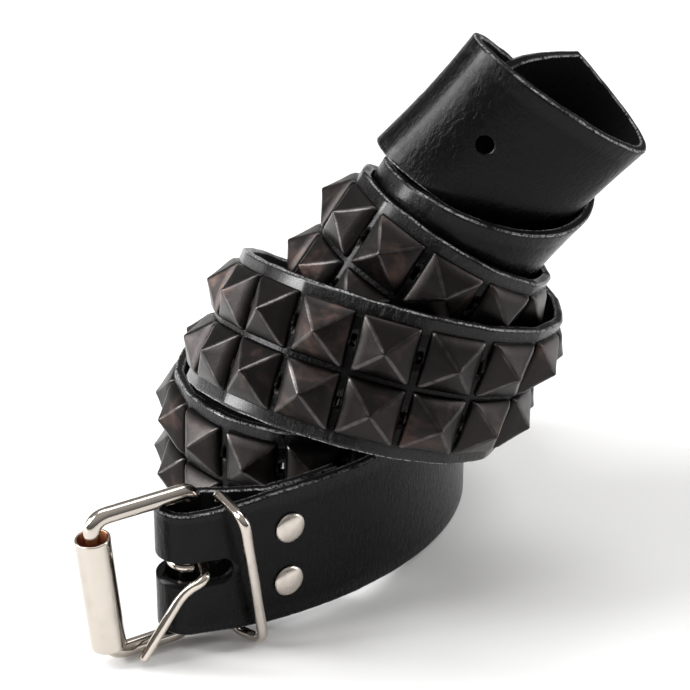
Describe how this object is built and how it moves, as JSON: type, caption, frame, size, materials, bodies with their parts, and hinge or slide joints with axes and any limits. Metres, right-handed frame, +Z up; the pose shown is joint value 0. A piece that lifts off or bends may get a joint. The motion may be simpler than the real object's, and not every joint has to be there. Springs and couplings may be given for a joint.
{
  "type": "belt",
  "caption": "Black leather belt with two rows of dark metal pyramid studs, coiled on its edge beside its nickel roller buckle",
  "frame": {"origin": "on the floor, under the middle of the whole belt's extent", "axes": "+Z up from the floor through the coil, +X to the right as pictured, +Y away from the viewer"},
  "size_m": [0.1428, 0.1362, 0.1498],
  "materials": {
    "strap_leather": "glossy",
    "frame_nickel": "polished",
    "roller_nickel": "polished",
    "prong_nickel": "polished",
    "keeper_nickel": "polished",
    "rivet_nickel": "polished"
  },
  "bodies": {
    "belt": {"strap": "strap_leather", "rivet_upper": "rivet_nickel", "rivet_lower": "rivet_nickel"},
    "frame": {"buckle_frame": "frame_nickel"},
    "roller": {"roller": "roller_nickel"},
    "prong": {"prong": "prong_nickel"},
    "keeper": {"keeper": "keeper_nickel"}
  },
  "joints": [
    {"name": "buckle_hinge", "type": "hinge", "parent": "belt", "child": "frame", "pos_m": [-0.0447, -0.04975, 0.0229], "axis": [0, 0, 1], "range_deg": [-30, 5]},
    {"name": "roller_spin", "type": "hinge", "parent": "frame", "child": "roller", "pos_m": [-0.06555, -0.06278, 0.02131], "axis": [-0.0837, -0.0523, 0.9951], "continuous": true},
    {"name": "prong_hinge", "type": "hinge", "parent": "belt", "child": "prong", "pos_m": [-0.0447, -0.04975, 0.0229], "axis": [0, 0, 1], "range_deg": [0, 15]},
    {"name": "keeper_swing", "type": "hinge", "parent": "belt", "child": "keeper", "pos_m": [-0.03278, -0.04871, 0.0062], "axis": [-0.1173, -0.0409, 0.9923], "range_deg": [-30, 20]}
  ]
}
